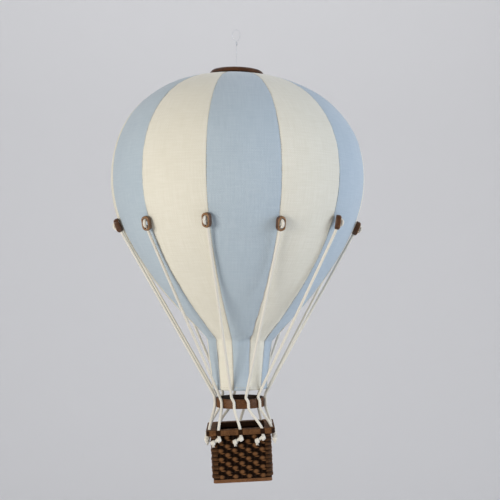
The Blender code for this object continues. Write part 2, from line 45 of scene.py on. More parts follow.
# The camera: nearly level with the envelope's lower half, 0.85 m from the hanging line, with a
# long lens. It is tipped up, turned and rolled a little, as a hand-held camera is.
CAMERA_DISTANCE = 0.85
CAMERA_HEIGHT = -0.1975
CAMERA_LENS = 76.97
CAMERA_TIP = radians(1.41)
CAMERA_TURN = radians(-0.60)
CAMERA_ROLL = radians(0.6)

bpy.ops.object.camera_add(
    location=(0, -CAMERA_DISTANCE, CAMERA_HEIGHT),
    rotation=(pi / 2 + CAMERA_TIP, CAMERA_ROLL, CAMERA_TURN),
)
camera = bpy.context.object
camera.data.lens = CAMERA_LENS
bpy.context.scene.camera = camera


# The studio: a round pale cove whose floor curves up into its wall, far below and behind the
# balloon, with a wide warm light from the left and a cooler one from the right.
COVE_RADIUS = 2.4
COVE_HEIGHT = 2.6
COVE_FLOOR = -0.70
COVE_CORNER = 1.0
COVE_COLOUR = (0.64, 0.635, 0.635, 1.0)
SKY_COLOUR = (0.88, 0.91, 1.0, 1.0)
SKY_STRENGTH = 0.34


def pick(mode, test):
    """In edit mode, select only the vertices, edges or faces that pass the test."""
    bpy.ops.mesh.select_mode(type=mode)
    bpy.ops.mesh.select_all(action="DESELECT")
    shape = bmesh.from_edit_mesh(bpy.context.object.data)
    for item in {"VERT": shape.verts, "EDGE": shape.edges, "FACE": shape.faces}[mode]:
        if test(item):
            item.select_set(True)
    shape.select_flush_mode()
    bmesh.update_edit_mesh(bpy.context.object.data)


def named(name):
    """Name the object that was just added, and its data, after the piece."""
    piece = bpy.context.object
    piece.name = name
    piece.data.name = name
    return piece


class Wire:
    """A node's output that takes part in Python arithmetic, which adds its Math nodes."""

    def __init__(self, paint, socket):
        self.paint = paint
        self.socket = socket

    def math(self, operation, *others):
        return self.paint.math(operation, self, *others)

    def __add__(self, other):
        return self.math("ADD", other)

    def __sub__(self, other):
        return self.math("SUBTRACT", other)

    def __rsub__(self, other):
        return self.paint.math("SUBTRACT", other, self)

    def __mul__(self, other):
        return self.math("MULTIPLY", other)

    __radd__ = __add__
    __rmul__ = __mul__


class Paint:
    """One material: its nodes are added by calls, and surface() feeds its shader."""

    def __init__(self, name):
        self.material = bpy.data.materials.new(name)
        self.material.use_nodes = True
        self.tree = self.material.node_tree
        self.shader = self.tree.nodes["Principled BSDF"]

    def node(self, kind, settings=(), inputs=(), output=0):
        made = self.tree.nodes.new(kind)
        for name, value in dict(settings).items():
            setattr(made, name, value)
        for name, value in dict(inputs).items():
            self.feed(made.inputs[name], value)
        return Wire(self, made.outputs[output])

    def feed(self, socket, value):
        if isinstance(value, Wire):
            self.tree.links.new(value.socket, socket)
        else:
            socket.default_value = value

    def math(self, operation, *values):
        return self.node("ShaderNodeMath", {"operation": operation}, enumerate(values))

    def vector(self, x, y, z=0.0):
        return self.node("ShaderNodeCombineXYZ", (), {0: x, 1: y, 2: z})

    def parts(self, vector):
        split = self.node("ShaderNodeSeparateXYZ", (), {0: vector}).socket.node
        return [Wire(self, split.outputs[axis]) for axis in range(3)]

    def place(self):
        return self.node("ShaderNodeTexCoord", output=3)

    def noise(self, vector, scale, detail=2.0, rough=0.5):
        inputs = {"Vector": vector, "Scale": scale, "Detail": detail, "Roughness": rough}
        return self.node("ShaderNodeTexNoise", (), inputs)

    def mixed(self, factor, first, second):
        return self.node("ShaderNodeMix", {"data_type": "RGBA"}, {0: factor, 6: first, 7: second}, 2)

    def ramp(self, value, low, high):
        inputs = {"Value": value, "From Min": low, "From Max": high}
        return self.node("ShaderNodeMapRange", {"interpolation_type": "SMOOTHSTEP"}, inputs)

    def bump(self, height, distance, strength=1.0):
        return self.node("ShaderNodeBump", (), {"Height": height, "Distance": distance,
                                                "Strength": strength})

    def surface(self, **values):
        for name, value in values.items():
            self.feed(self.shader.inputs[name.replace("_", " ")], value)
        return self.material


bpy.ops.mesh.primitive_cylinder_add(
    vertices=160, radius=COVE_RADIUS, depth=COVE_HEIGHT,
    location=(0, 0, COVE_FLOOR + COVE_HEIGHT / 2),
)
cove = named("studio_cove")
bpy.ops.object.mode_set(mode="EDIT")
pick("FACE", lambda face: face.normal.z > 0.9)
bpy.ops.mesh.delete(type="FACE")
pick("EDGE", lambda edge: all(vert.co.z < 0 for vert in edge.verts))
bpy.ops.mesh.bevel(offset=COVE_CORNER, segments=24, affect="EDGES")
bpy.ops.mesh.select_all(action="SELECT")
bpy.ops.mesh.flip_normals()
bpy.ops.object.mode_set(mode="OBJECT")
bpy.ops.object.shade_smooth()
cove_paint = Paint("cove_paint")
cove.data.materials.append(cove_paint.surface(Base_Color=COVE_COLOUR, Roughness=0.9))

sky = bpy.data.worlds.new("studio_sky")
sky.use_nodes = True
sky.node_tree.nodes["Background"].inputs["Color"].default_value = SKY_COLOUR
sky.node_tree.nodes["Background"].inputs["Strength"].default_value = SKY_STRENGTH
bpy.context.scene.world = sky
bpy.context.scene.view_settings.view_transform = "Standard"


def soft_light(name, place, target, size, watts, colour):
    """A square soft box at a place, aimed at a target."""
    aim = (Vector(target) - Vector(place)).to_track_quat("-Z", "Y").to_euler()
    bpy.ops.object.light_add(type="AREA", location=place, rotation=aim)
    light = named(name)
    light.data.size = size
    light.data.energy = watts
    light.data.color = colour
    light.visible_camera = False


soft_light("window_left", (-1.15, -1.25, -0.10), (0, 0, -0.20), 0.7, 17.5, (1.0, 0.965, 0.91))
soft_light("window_right", (1.55, -0.40, 0.15), (0, 0, -0.17), 1.0, 18.5, (0.78, 0.86, 1.0))
soft_light("wall_wash", (0.0, 0.9, 1.2), (0, 2.3, -0.4), 1.2, 15.0, (0.99, 0.99, 1.0))


# The envelope: twelve gores of plain-woven cotton, pale blue and cream in turn. Each is cut to a
# long leaf shape and sewn edge to edge from the crown, under the cap, to the neck's hem.
CAP_TOP = -0.0335
CROWN_HEIGHT = -0.0369
WIDEST_HEIGHT = -0.1213
NECK_TOP = -0.2470
NECK_HEM = -0.2858
ENVELOPE_RADIUS = 0.1002
CROWN_OPENING_RADIUS = 0.0120
DOME_EXPONENT = 2.21
SHOULDER_PULL = 0.0400
CONE_PULL = 0.0464
NECK_TOP_RADIUS = 0.0261
NECK_HEM_RADIUS = 0.0216
DOME_SLOPE = 0.035
NECK_SLOPE = 0.050
FIRST_SEAM_ANGLE = radians(-12.9)
GORE_WIDTHS = [radians(w) for w in (31.2, 30.2, 29.8, 29.7, 29.7, 29.7, 29.7, 29.7, 29.7, 29.7, 29.7, 31.2)]
SEAM_ANGLES = [FIRST_SEAM_ANGLE + sum(GORE_WIDTHS[:index]) for index in range(len(GORE_WIDTHS))]
CLOTH_THICKNESS = 0.0006
GORE_ACROSS = 26
GORE_ALONG = 168
SEAM_GAP = 0.00006
SEAM_DIP = 0.00030
SEAM_ROLL = 0.0009
PUCKER_LIFT = 0.00030
PUCKER_REACH = 0.0045
PUCKER_LENGTH = 0.0042
DRAPE_LIFT = 0.00035
DRAPE_LENGTH = 0.030
NECK_FOLD_LIFT = 0.0009
NECK_FOLD_LENGTH = 0.014
PINCH_GORE = 0
PINCH_DEPTH = 0.0009
PINCH_SLANT = 0.70
HEM_HEIGHT = 0.0034
HEM_LIFT = 0.00035
THREAD = 0.00085
# Below this height the cords run along the seams, and their shadow is painted along the seam line.
CORD_SHADOW_HEIGHT = -0.163
BLUE = (0.490, 0.563, 0.605, 1.0)
BLUE_SHADE = (0.415, 0.492, 0.545, 1.0)
CREAM = (0.810, 0.775, 0.660, 1.0)
CREAM_SHADE = (0.730, 0.690, 0.565, 1.0)
SEAM_SHADE = (0.330, 0.270, 0.225, 1.0)


def dome_point(turn):
    """Point (radius, height) on the dome, from the widest ring at 0 to the crown at pi / 2."""
    power = 2 / DOME_EXPONENT
    rise = (CROWN_HEIGHT - WIDEST_HEIGHT) * sin(turn) ** power
    return Vector((ENVELOPE_RADIUS * cos(turn) ** power, WIDEST_HEIGHT + rise))


def cone_point(t):
    """Point (radius, height) below the widest ring, at t = 0, down to the neck at 1."""
    stops = (
        Vector((ENVELOPE_RADIUS, WIDEST_HEIGHT)),
        Vector((ENVELOPE_RADIUS, WIDEST_HEIGHT - SHOULDER_PULL)),
        Vector((NECK_TOP_RADIUS + CONE_PULL, NECK_TOP + CONE_PULL)),
        Vector((NECK_TOP_RADIUS, NECK_TOP)),
    )
    weights = ((1 - t) ** 3, 3 * (1 - t) ** 2 * t, 3 * (1 - t) * t * t, t ** 3)
    return sum((stop * weight for stop, weight in zip(stops, weights)), Vector((0, 0)))


def skin_line():
    """The smooth outer skin from crown to hem, as points and their distances along it."""
    first_turn = acos((CROWN_OPENING_RADIUS / ENVELOPE_RADIUS) ** (DOME_EXPONENT / 2))
    steps = 160
    points = [dome_point(first_turn * (1 - step / steps)) for step in range(steps)]
    points += [cone_point(step / steps) for step in range(steps + 1)]
    points.append(Vector((NECK_HEM_RADIUS, NECK_HEM)))
    distances = [0.0]
    for before, here in zip(points, points[1:]):
        distances.append(distances[-1] + (here - before).length)
    return points, distances


SKIN_POINTS, SKIN_DISTANCES = skin_line()
GORE_LENGTH = SKIN_DISTANCES[-1]
NECK_LENGTH = SKIN_DISTANCES[-1] - SKIN_DISTANCES[-2]


def skin_at(distance):
    """The skin's point and outward normal, as (radius, height), this far from the crown."""
    place = min(max(bisect_right(SKIN_DISTANCES, distance), 1), len(SKIN_POINTS) - 1)
    start, end = SKIN_POINTS[place - 1], SKIN_POINTS[place]
    span = SKIN_DISTANCES[place] - SKIN_DISTANCES[place - 1]
    run = (end - start).normalized()
    point = start.lerp(end, (distance - SKIN_DISTANCES[place - 1]) / span)
    return point, Vector((-run.y, run.x))


def turned(point, angle):
    """A (radius, height) point in space; angle 0 faces the front and grows to the right."""
    return Vector((sin(angle) * point.x, -cos(angle) * point.x, point.y))


def fall_to_right(height):
    """How steeply the slack cloth has settled to the right at this height: not at all at the
    widest ring and the hem, most at the crown and at the neck's crease."""
    if height > WIDEST_HEIGHT:
        return DOME_SLOPE * (height - WIDEST_HEIGHT) / (CROWN_HEIGHT - WIDEST_HEIGHT)
    if height > NECK_TOP:
        return NECK_SLOPE * ((WIDEST_HEIGHT - height) / (WIDEST_HEIGHT - NECK_TOP)) ** 3
    return NECK_SLOPE * (height - NECK_HEM) / (NECK_TOP - NECK_HEM)


def settled(point, angle):
    """A (radius, height) point on the cloth, in space, where the slack cloth has settled."""
    place = turned(point, angle)
    place.z -= fall_to_right(point.y) * point.x * sin(angle)
    return place


def distance_at_height(height):
    """How far along the skin the cone comes down to this height."""
    place = next(number for number, point in enumerate(SKIN_POINTS) if point.y < height)
    above, below = SKIN_POINTS[place - 1], SKIN_POINTS[place]
    share = (above.y - height) / (above.y - below.y)
    return SKIN_DISTANCES[place - 1] + share * (SKIN_DISTANCES[place] - SKIN_DISTANCES[place - 1])


def cloth_lift(gore, across, along, edge):
    """How far the cloth stands off the smooth skin: dips and puckers at the seams, a slight
    drape, soft folds round the neck and a turned-up hem."""
    lift = -SEAM_DIP * exp(-(edge / SEAM_ROLL) ** 2)
    pucker = noise.noise((gore * 7.3, along / PUCKER_LENGTH, across * 40))
    lift += PUCKER_LIFT * exp(-edge / PUCKER_REACH) * pucker
    lift += DRAPE_LIFT * noise.noise((gore * 3.7, along / DRAPE_LENGTH, across / DRAPE_LENGTH))
    neck = GORE_LENGTH - NECK_LENGTH
    near_neck = exp(-((along - neck) / (1.3 * NECK_FOLD_LENGTH)) ** 2)
    fold = noise.noise((gore * 5.1 + across / NECK_FOLD_LENGTH, along / NECK_FOLD_LENGTH, 2.0))
    lift += NECK_FOLD_LIFT * near_neck * fold
    if gore == PINCH_GORE:
        below = along - neck - 0.0020 + PINCH_SLANT * across
        inset = min(max((across + 0.003) / 0.003, 0.0), 1.0)
        lift -= PINCH_DEPTH * inset * exp(-(below / 0.0015) ** 2)
        lift += PINCH_DEPTH * 0.6 * exp(-((below + 0.0042) / 0.0024) ** 2)
    hem_start = GORE_LENGTH - HEM_HEIGHT
    lift += HEM_LIFT * min(max((along - hem_start) / 0.0006, 0.0), 1.0)
    return lift


def sew_gore(index, width):
    """One gore, shaped from a flat grid: X across the cut, Y along it."""
    bpy.ops.mesh.primitive_grid_add(x_subdivisions=GORE_ACROSS, y_subdivisions=GORE_ALONG, size=1)
    gore = named(f"cloth_gore_{index + 1:02d}")
    middle = SEAM_ANGLES[index] + width / 2
    flat = []
    edges = []
    for vert in gore.data.vertices:
        share = sin(pi * vert.co.x) / 2
        along = GORE_LENGTH * (0.5 - vert.co.y)
        point, out = skin_at(along)
        half = width * point.x / 2
        edge = half * (1 - 2 * abs(share))
        angle = middle + share * (width - SEAM_GAP / point.x)
        flat.append((share * width * point.x, along))
        edges.append(edge)
        vert.co = settled(point + out * cloth_lift(index, share * width * point.x, along, edge), angle)
    cut = gore.data.uv_layers[0]
    cut.name = "cloth"
    for loop in gore.data.loops:
        cut.data[loop.index].uv = flat[loop.vertex_index]
    gore.data.attributes.new("seam_distance", "FLOAT", "POINT").data.foreach_set("value", edges)
    bpy.ops.object.shade_smooth()
    shell = gore.modifiers.new("thickness", "SOLIDIFY")
    shell.thickness = CLOTH_THICKNESS
    shell.offset = -1
    bpy.ops.object.modifier_apply(modifier=shell.name)
    return gore


def woven_cotton(name, colour, shade):
    """Plain weave: crossing threads of uneven thickness, with a faint dark line along the sewn edge
    that is darker below the clips, as painted shadow of the cords.
    """
    paint = Paint(name)
    across, along, unused = paint.parts(paint.node("ShaderNodeUVMap", {"uv_map": "cloth"}))
    edge = paint.node("ShaderNodeAttribute", {"attribute_name": "seam_distance"}, output=2)
    weave = (across * (pi / THREAD)).math("SINE") * (along * (pi / THREAD)).math("SINE")
    weft = paint.noise(paint.vector(across * 70.0, along * (0.9 / THREAD)), 1.0, 3.0)
    warp = paint.noise(paint.vector(across * (0.9 / THREAD), along * 55.0, 5.0), 1.0, 3.0)
    cloud = paint.noise(paint.place(), 28.0, 3.0)
    threads = (weft + warp) * 0.9 + weave * 0.16 - 0.45
    tone = paint.ramp(threads * 0.72 + cloud * 0.28, 0.15, 0.85)
    under_cords = paint.ramp(along, distance_at_height(CORD_SHADOW_HEIGHT), distance_at_height(CORD_SHADOW_HEIGHT) + 0.02)
    # A faint dark line along every seam, darker below the clips as painted shadow of the cords.
    seam = (1 - paint.ramp(edge, 0.00015, 0.00060)) * (under_cords * 0.30 + 0.04)
    woven = paint.mixed(tone, shade, colour)
    height = weave * 0.5 + weft + warp
    return paint.surface(
        Base_Color=paint.mixed(seam, woven, SEAM_SHADE),
        Roughness=0.92 - tone * 0.10,
        Normal=paint.bump(height, 0.00010, 0.55),
        Sheen_Weight=0.25,
        Sheen_Roughness=0.45,
        Specular_IOR_Level=0.25,
    )


def cut_area(width):
    """Flat area of a gore's cut, square metres."""
    area = 0.0
    for start, end in zip(SKIN_POINTS, SKIN_POINTS[1:]):
        area += width * (start.x + end.x) / 2 * (end - start).length
    return area


blue_cotton = woven_cotton("blue_cotton", BLUE, BLUE_SHADE)
cream_cotton = woven_cotton("cream_cotton", CREAM, CREAM_SHADE)
for index, width in enumerate(GORE_WIDTHS):
    gore = sew_gore(index, width)
    gore.data.materials.append(cream_cotton if index % 2 else blue_cotton)
    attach(gore, "balloon")
    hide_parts(f"gore_{index + 1:02d}")
    cut_area(width)


# Sewing thread: a zigzag that closes each seam and a running stitch that holds the turned-up hem,
# both in a buff cotton thread laid in short stitches.
STITCH_PITCH = 0.0019
STITCH_REACH = 0.00075
STITCH_RADIUS = 0.00012
STITCH_RISE = 0.00016
HEM_STITCH_LENGTH = 0.0017
HEM_STITCH_COUNT = 54
THREAD_COLOUR = (0.66, 0.60, 0.50, 1.0)
THREAD_SHADE = (0.50, 0.43, 0.34, 1.0)


def seam_frame(angle, along, lift=0.0):
    """Frame on the skin: X across to the right, Y up along the cut, Z out."""
    point, out = skin_at(along)
    outward = (turned(out, angle)).normalized()
    across = Vector((cos(angle), sin(angle), 0.0))
    matrix = Matrix((across, outward.cross(across), outward)).transposed().to_4x4()
    matrix.translation = settled(point + out * lift, angle)
    return matrix


def stitch_mesh(length):
    """One stitch: a thread that rises out of the cloth and goes back into it."""
    bpy.ops.curve.primitive_bezier_curve_add()
    curve = bpy.context.object
    curve.data.bevel_depth = STITCH_RADIUS
    curve.data.bevel_resolution = 1
    curve.data.resolution_u = 4
    curve.data.use_fill_caps = False
    start, end = curve.data.splines[0].bezier_points
    start.co, end.co = (-length / 2, 0, -STITCH_RISE), (length / 2, 0, -STITCH_RISE)
    start.handle_right = (-length / 4, 0, STITCH_RISE * 1.4)
    end.handle_left = (length / 4, 0, STITCH_RISE * 1.4)
    bpy.ops.object.convert(target="MESH")
    mesh = bpy.context.object.data.copy()
    bpy.ops.object.delete()
    return mesh


def scatter(name, mesh, places):
    """One mesh object that holds a copy of a small mesh at each place."""
    work = bmesh.new()
    for place in places:
        copy = mesh.copy()
        copy.transform(place)
        work.from_mesh(copy)
        bpy.data.meshes.remove(copy)
    joined = bpy.data.meshes.new(name)
    work.to_mesh(joined)
    work.free()
    piece = bpy.data.objects.new(name, joined)
    bpy.context.scene.collection.objects.link(piece)
    return piece


def cotton_thread():
    paint = Paint("buff_thread")
    fibre = paint.noise(paint.place(), 2600.0, 2.0)
    return paint.surface(
        Base_Color=paint.mixed(fibre, THREAD_SHADE, THREAD_COLOUR),
        Roughness=0.75 + fibre * 0.15,
        Normal=paint.bump(fibre, 0.00004, 0.5),
    )


zigzag = []
seam_start = 0.012
seam_end = GORE_LENGTH - 0.001
stitch_count = int((seam_end - seam_start) / STITCH_PITCH)
for angle in SEAM_ANGLES:
    for number in range(stitch_count):
        along = seam_start + number * STITCH_PITCH
        lean = Matrix.Rotation(radians(38 if number % 2 else -38), 4, "Z")
        zigzag.append(seam_frame(angle, along, -SEAM_DIP * 0.45) @ lean)
hem_stitches = []
for number in range(HEM_STITCH_COUNT):
    angle = 2 * pi * number / HEM_STITCH_COUNT
    hem_stitches.append(seam_frame(angle, GORE_LENGTH - HEM_HEIGHT * 0.72, HEM_LIFT))
buff_thread = cotton_thread()
for name, length, places in (
    ("seam_stitching", 2 * STITCH_REACH, zigzag),
    ("hem_stitching", HEM_STITCH_LENGTH, hem_stitches),
):
    stitching = scatter(name, stitch_mesh(length), places)
    stitching.data.materials.append(buff_thread)
    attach(stitching, "balloon")


# The cap: a turned disc of dark brown plastic, 43 mm across with a full round edge, pressed down
# over the crown where the gores' points meet. The hanging line runs up through its middle.
CAP_RADIUS = 0.0224
CAP_EDGE = 0.0038
CAP_SHOULDER = 0.0026
CAP_DISH = 0.0007
LINE_HOLE_RADIUS = 0.0008
BROWN = (0.120, 0.046, 0.015, 1.0)
BROWN_SHADE = (0.034, 0.011, 0.004, 1.0)
# Near black: painted shade on the faces marked for it, inside the ring and the basket and in the rim's recesses.
PAINTED_SHADE_COLOUR = (0.008, 0.003, 0.0015, 1.0)


def brown_plastic(name, light, dark, roughness, grain=0.00006, shine=0.18):
    """Moulded plastic: a mottled brown with a fine dry grain that breaks up its shine, and
    painted shade, near black, on the faces that are marked for it."""
    paint = Paint(name)
    place = paint.place()
    # Painted shade: faces marked in this attribute are painted near black.
    painted_shade = paint.node("ShaderNodeAttribute", {"attribute_name": "painted_shade"}, output=2)
    cloud = paint.noise(place, 110.0, 4.0, 0.6)
    speck = paint.noise(place, 1500.0, 2.0, 0.6)
    scuff = paint.ramp(paint.noise(place, 420.0, 5.0, 0.7), 0.52, 0.72)
    tone = paint.ramp(cloud * 0.50 + speck * 0.50, 0.32, 0.66)
    return paint.surface(
        Base_Color=paint.mixed(painted_shade * 0.85, paint.mixed(tone, dark, light), PAINTED_SHADE_COLOUR),
        Roughness=roughness + scuff * 0.16 + speck * 0.10,
        Normal=paint.bump(speck + cloud * 0.6, grain, 0.6),
        Specular_IOR_Level=shine,
        Coat_Weight=shine * 0.25,
        Coat_Roughness=0.3,
    )


bpy.ops.mesh.primitive_cylinder_add(
    vertices=96, radius=CAP_RADIUS, depth=CAP_EDGE, location=(0, 0, CAP_TOP - CAP_EDGE / 2),
)
cap = named("cap_disc")
bpy.ops.object.mode_set(mode="EDIT")
pick("VERT", lambda vert: vert.co.z > 0)
narrow = 1 - CAP_SHOULDER / CAP_RADIUS
bpy.ops.transform.resize(value=(narrow, narrow, 1))
pick("EDGE", lambda edge: abs(edge.verts[0].co.z - edge.verts[1].co.z) < 1e-6 and edge.verts[0].co.z > 0)
bpy.ops.mesh.bevel(offset=0.0016, segments=8, affect="EDGES")
pick("EDGE", lambda edge: max(vert.co.z for vert in edge.verts) < 1e-4 - CAP_EDGE / 2)
bpy.ops.mesh.bevel(offset=0.0003, segments=3, affect="EDGES")
pick("FACE", lambda face: face.normal.z > 0.99 and len(face.verts) > 8)
for inset in (0.003, 0.006, CAP_RADIUS - CAP_SHOULDER - 0.0111 - LINE_HOLE_RADIUS):
    bpy.ops.mesh.inset(thickness=inset)
    bpy.ops.transform.translate(value=(0, 0, -CAP_DISH / 3))
bpy.ops.mesh.extrude_region_move(TRANSFORM_OT_translate={"value": (0, 0, -CAP_EDGE * 0.7)})
bpy.ops.object.mode_set(mode="OBJECT")
bpy.ops.object.transform_apply(location=True, rotation=True, scale=True)
crown = Matrix.Translation((0, 0, CROWN_HEIGHT))
cap.data.transform(crown @ Matrix.Rotation(DOME_SLOPE, 4, "Y") @ crown.inverted())
bpy.ops.object.shade_smooth_by_angle(angle=radians(35))
cap.data.materials.append(brown_plastic("cap_brown", BROWN, BROWN_SHADE, 0.32))
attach(cap, "balloon")
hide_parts("top_cap")


# The hanging line: clear nylon, 0.7 mm thick, tied in a small loop at the top. It runs down through
# the cap and ends in a stop knot under it.
LOOP_HEIGHT = 0.0100
LOOP_WIDTH = 0.0066
LINE_RADIUS = 0.00027
LOOP_KNOT_RADIUS = 0.00055
STOP_DROP = 0.0060


def smooth_route(points, rounds=3):
    """Cut the corners of a route until it runs smoothly; straight stretches stay straight."""
    for cut in range(rounds):
        rounded = [points[0]]
        for start, end in zip(points, points[1:]):
            rounded += [start.lerp(end, 0.25), start.lerp(end, 0.75)]
        points = rounded + [points[-1]]
    return points


def even_route(points, step):
    """The same route with its points about one step apart."""
    distances = [0.0]
    for before, here in zip(points, points[1:]):
        distances.append(distances[-1] + (here - before).length)
    count = max(2, ceil(distances[-1] / step))
    route = []
    for number in range(count + 1):
        distance = distances[-1] * number / count
        place = min(bisect_right(distances, distance), len(points) - 1)
        span = distances[place] - distances[place - 1]
        share = (distance - distances[place - 1]) / span if span else 0.0
        route.append(points[place - 1].lerp(points[place], share))
    return route, distances[-1]


def add_tube(work, route, radius_at, sides, lobes=0, groove=0.0, lay=1.0):
    """Add a round or stranded cord along an even route. Its strands turn once in each lay."""
    step = (route[1] - route[0]).length
    run = (route[1] - route[0]).normalized()
    side = run.orthogonal().normalized()
    uv = work.loops.layers.uv.verify()
    rings = []
    for number, point in enumerate(route):
        ahead = route[min(number + 1, len(route) - 1)] - route[max(number - 1, 0)]
        new_run = ahead.normalized()
        side = run.rotation_difference(new_run) @ side
        side = (side - new_run * side.dot(new_run)).normalized()
        run = new_run
        up = run.cross(side)
        twist = 2 * pi * number * step / lay
        ring = []
        for corner in range(sides):
            turn = 2 * pi * corner / sides
            hollow = groove * (1 - abs(cos(lobes * (turn - twist) / 2))) if lobes else 0.0
            radius = radius_at(number / (len(route) - 1)) * (1 - hollow)
            ring.append(work.verts.new(point + (side * cos(turn) + up * sin(turn)) * radius))
        rings.append(ring)
    for number in range(len(rings) - 1):
        for corner in range(sides):
            after = (corner + 1) % sides
            face = work.faces.new((rings[number][corner], rings[number][after],
                                   rings[number + 1][after], rings[number + 1][corner]))
            face.smooth = True
            corners = ((corner, number), (corner + 1, number), (corner + 1, number + 1), (corner, number + 1))
            for loop, (around, along) in zip(face.loops, corners):
                loop[uv].uv = (around / sides, along * step)
    work.faces.new(list(reversed(rings[0])))
    work.faces.new(rings[-1])


def mesh_piece(name, work):
    """The finished bmesh as an object in the scene."""
    mesh = bpy.data.meshes.new(name)
    work.to_mesh(mesh)
    work.free()
    piece = bpy.data.objects.new(name, mesh)
    bpy.context.scene.collection.objects.link(piece)
    return piece


def nylon_line():
    paint = Paint("clear_nylon")
    streak = paint.noise(paint.place(), 900.0, 2.0)
    return paint.surface(
        Base_Color=paint.mixed(streak, (0.90, 0.92, 0.94, 1.0), (0.97, 0.98, 1.0, 1.0)),
        Roughness=0.04 + streak * 0.06,
        Transmission_Weight=1.0,
        IOR=1.25,
    )


half_height = LOOP_HEIGHT / 2 - LINE_RADIUS
half_width = LOOP_WIDTH / 2 - LINE_RADIUS
loop_foot = Vector((0, 0, -LOOP_HEIGHT))
line_route = [Vector((0, 0, CAP_TOP - STOP_DROP)), loop_foot - Vector((0, 0, 0.0012))]
for step in range(25):
    turn = 2 * pi * step / 24
    swell = Vector((-half_width * sin(turn), 0.0003 * cos(turn / 2), -half_height * cos(turn)))
    line_route.append(Vector((0, 0, -LOOP_HEIGHT / 2)) + swell)
for step in range(40):
    turn = 2 * pi * step / 12
    wind = Vector((cos(turn), sin(turn), 0)) * LOOP_KNOT_RADIUS
    line_route.append(loop_foot + wind - Vector((0, 0, 0.0003 + 0.0026 * step / 39)))
work = bmesh.new()
route, length = even_route(smooth_route(line_route, 2), 0.0004)
add_tube(work, route, lambda share: LINE_RADIUS, 10)
stop_route = []
for step in range(34):
    turn = 2 * pi * step / 12
    wind = Vector((cos(turn), sin(turn), 0)) * LOOP_KNOT_RADIUS
    stop_route.append(Vector((0, 0, CAP_TOP - STOP_DROP + 0.0002 + 0.0022 * step / 33)) + wind)
route, length = even_route(smooth_route(stop_route, 1), 0.0004)
add_tube(work, route, lambda share: LINE_RADIUS, 10)
line = mesh_piece("nylon_line", work)
line.data.materials.append(nylon_line())
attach(line, "hanger")
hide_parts("hanging_loop")


# Clips: twelve oval rings of dark brown plastic, one on each seam below the widest part. Each is
# rounded over at its ends, and has a notch under its lower end that lets the cord out.
CLIP_HEIGHT = -0.1575
CLIP_LENGTH = 0.0111
CLIP_WIDTH = 0.0063
CLIP_HOLE_LENGTH = 0.0076
CLIP_HOLE_WIDTH = 0.0036
CLIP_DEPTH = 0.0041
CLIP_END_FALL = 0.0011
CLIP_EDGE = 0.00062
CLIP_NOTCH_DEPTH = 0.0027
CLIP_NOTCH_WIDTH = 0.0031
# Each clip sits a little differently on its seam, as its cord pulls it. Columns: rise above
# CLIP_HEIGHT, twist about its long axis and lean away from the cloth at its foot, in degrees
CLIP_PLACES = (
    (0.0012, -19, 10),
    (-0.0017, 9, 10),
    (0.0005, 34, 10),
    (-0.0026, 7, 0),
    (0.0008, -6, 6),
    (-0.0006, 12, 10),
    (0.0010, -9, 10),
    (-0.0004, 5, 10),
    (0.0009, 14, 10),
    (-0.0011, -8, 6),
    (0.0011, -20, 0),
    (0.0005, 20, 10),
)
# The front face is painted towards CLIP_BROWN as a painted highlight and the sides towards CLIP_DARK as painted
# shade, both broken up by a random mottle.
CLIP_BROWN = (0.255, 0.125, 0.046, 1.0)
CLIP_DARK = (0.075, 0.028, 0.009, 1.0)


def stadium(length, width, arc_steps, side_steps):
    """Outline with round ends, its long way along Y, its straight sides in short steps."""
    radius = width / 2
    straight = length / 2 - radius
    points = []
    for end in (0, 1):
        for step in range(arc_steps + 1):
            turn = pi * (end + step / arc_steps)
            points.append((radius * cos(turn), straight * (1 - 2 * end) + radius * sin(turn)))
        for step in range(1, side_steps):
            rise = straight * (1 - 2 * step / side_steps) * (1 - 2 * end)
            points.append((-radius * (1 - 2 * end), rise))
    return points


def cut_plate(name, outlines, thickness, edge):
    """A plate cut from nested outlines, centred on Z = 0, with its edges rounded over."""
    bpy.ops.curve.primitive_bezier_circle_add()
    curve = bpy.context.object.data
    curve.splines.clear()
    curve.dimensions = "2D"
    curve.fill_mode = "BOTH"
    curve.extrude = thickness / 2 - edge
    curve.bevel_depth = edge
    curve.bevel_resolution = 3
    curve.offset = -edge
    for number, outline in enumerate(outlines):
        spline = curve.splines.new("POLY")
        spline.points.add(len(outline) - 1)
        spline.use_cyclic_u = True
        for point, (x, y) in zip(spline.points, outline if number == 0 else outline[::-1]):
            point.co = (x, y, 0.0, 1.0)
    bpy.ops.object.convert(target="MESH")
    plate = named(name)
    bpy.ops.object.mode_set(mode="EDIT")
    bpy.ops.mesh.select_all(action="SELECT")
    bpy.ops.mesh.remove_doubles(threshold=0.00001)
    bpy.ops.mesh.normals_make_consistent(inside=False)
    bpy.ops.object.mode_set(mode="OBJECT")
    return plate


def clip_top(y):
    """Height of the clip's front face, which falls away towards both ends."""
    reach = min(1.0, abs(y) / (CLIP_LENGTH / 2))
    return CLIP_DEPTH - CLIP_END_FALL * max(0.0, (reach - 0.62) / 0.38) ** 2


def clip_plastic():
    """Brown plastic, with a painted highlight on its front face and painted shade down its sides."""
    paint = Paint("clip_brown")
    place = paint.place()
    painted_highlight = paint.node("ShaderNodeAttribute", {"attribute_name": "painted_highlight"}, output=2)
    cloud = paint.noise(place, 260.0, 4.0, 0.6)
    speck = paint.noise(place, 1700.0, 2.0)
    lit_and_mottle = paint.ramp(painted_highlight * 0.60 + cloud * 0.9, 0.42, 1.05)
    return paint.surface(
        Base_Color=paint.mixed(lit_and_mottle, CLIP_DARK, CLIP_BROWN),
        Roughness=0.24 + speck * 0.14 + lit_and_mottle * 0.06,
        Normal=paint.bump(speck + cloud, 0.00004, 0.5),
        Specular_IOR_Level=0.35,
        Coat_Weight=0.25,
        Coat_Roughness=0.18,
    )


